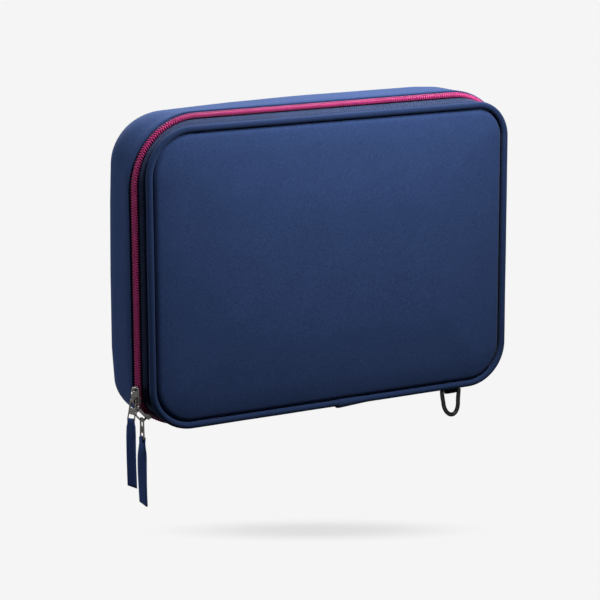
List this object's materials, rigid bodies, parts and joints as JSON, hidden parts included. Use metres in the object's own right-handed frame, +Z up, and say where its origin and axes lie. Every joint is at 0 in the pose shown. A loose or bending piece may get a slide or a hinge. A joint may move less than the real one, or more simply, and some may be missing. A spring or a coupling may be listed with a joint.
{
  "type": "paddle case",
  "caption": "Padded zip-up case for table-tennis paddles: a soft domed lid hinged by fabric to a deep rounded tray, with pull ribbons and a hanging ring.",
  "frame": {"origin": "middle of the flat back face, which is the case's underside when it lies down", "axes": "+X to the right seen from the front, +Y out of the back face, +Z up towards the side opposite the fabric hinge"},
  "size_m": [0.3051, 0.0584, 0.2654],
  "materials": {
    "navy_fabric": "fine matt knit over foam",
    "navy_trim": "piping and edge fabric",
    "zipper_tape": "herringbone woven tape",
    "zipper_coil": "dyed nylon coil, magenta, soft gloss",
    "lining_fabric": "brushed polyester lining",
    "stiffener": "plain sheet, hidden",
    "elastic": "ribbed elastic webbing",
    "pocket_mesh": "open knitted mesh",
    "pull_ribbon": "smooth satin-woven ribbon",
    "webbing": "plain woven webbing",
    "gunmetal": "antique nickel plating, polished edges",
    "black_metal": "smooth black lacquer"
  },
  "bodies": {
    "tray": {"rear_shell": "navy_fabric", "rear_lining": "lining_fabric", "rear_edge_binding": "navy_trim", "back_board": "stiffener", "racket_strap": "elastic", "rear_zipper_tape": "zipper_tape", "rear_zipper_coil": "zipper_coil", "zipper_stop_left": "gunmetal", "zipper_stop_right": "gunmetal", "hinge_fabric": "navy_trim", "ring_loop": "webbing"},
    "lid": {"front_panel": "navy_fabric", "front_piping": "navy_trim", "lid_board": "stiffener", "lid_lining": "lining_fabric", "mesh_pocket": "pocket_mesh", "pocket_hem": "elastic", "front_zipper_tape": "zipper_tape", "front_zipper_coil": "zipper_coil"},
    "slider_a": {"slider_a_body": "gunmetal"},
    "puller_a": {"puller_a": "gunmetal"},
    "ribbon_a": {"ribbon_a": "pull_ribbon"},
    "slider_b": {"slider_b_body": "gunmetal"},
    "puller_b": {"puller_b": "gunmetal"},
    "ribbon_b": {"ribbon_b": "pull_ribbon"},
    "d_ring": {"d_ring": "black_metal"}
  },
  "joints": [
    {"name": "lid_hinge", "type": "hinge", "parent": "tray", "child": "lid", "pos_m": [0, -0.054, -0.1032], "axis": [1, 0, 0], "range_deg": [0, 180]},
    {"name": "slider_a_slide", "type": "slide", "parent": "tray", "child": "slider_a", "axis": [0, 0, 1], "range_m": [0, 0.13]},
    {"name": "puller_a_swing", "type": "hinge", "parent": "slider_a", "child": "puller_a", "pos_m": [-0.15194, -0.04952, -0.07905], "axis": [-0.5446, 0.8387, 0], "range_deg": [0, 140]},
    {"name": "ribbon_a_swing", "type": "hinge", "parent": "puller_a", "child": "ribbon_a", "pos_m": [-0.15194, -0.04952, -0.09245], "axis": [-0.5446, 0.8387, 0], "range_deg": [-5, 30]},
    {"name": "slider_b_turn", "type": "hinge", "parent": "tray", "child": "slider_b", "pos_m": [-0.1122, -0.04365, -0.06143], "axis": [0, -1, 0], "range_deg": [0, 40]},
    {"name": "puller_b_swing", "type": "hinge", "parent": "slider_b", "child": "puller_b", "pos_m": [-0.14322, -0.04365, -0.09434], "axis": [0, 1, 0], "range_deg": [-35, 100]},
    {"name": "ribbon_b_swing", "type": "hinge", "parent": "puller_b", "child": "ribbon_b", "pos_m": [-0.14322, -0.04365, -0.10774], "axis": [0, 1, 0], "range_deg": [-30, 30]},
    {"name": "d_ring_swing", "type": "hinge", "parent": "tray", "child": "d_ring", "pos_m": [0.1008, -0.0475, -0.10503], "axis": [1, 0, 0], "range_deg": [-80, 80]}
  ]
}
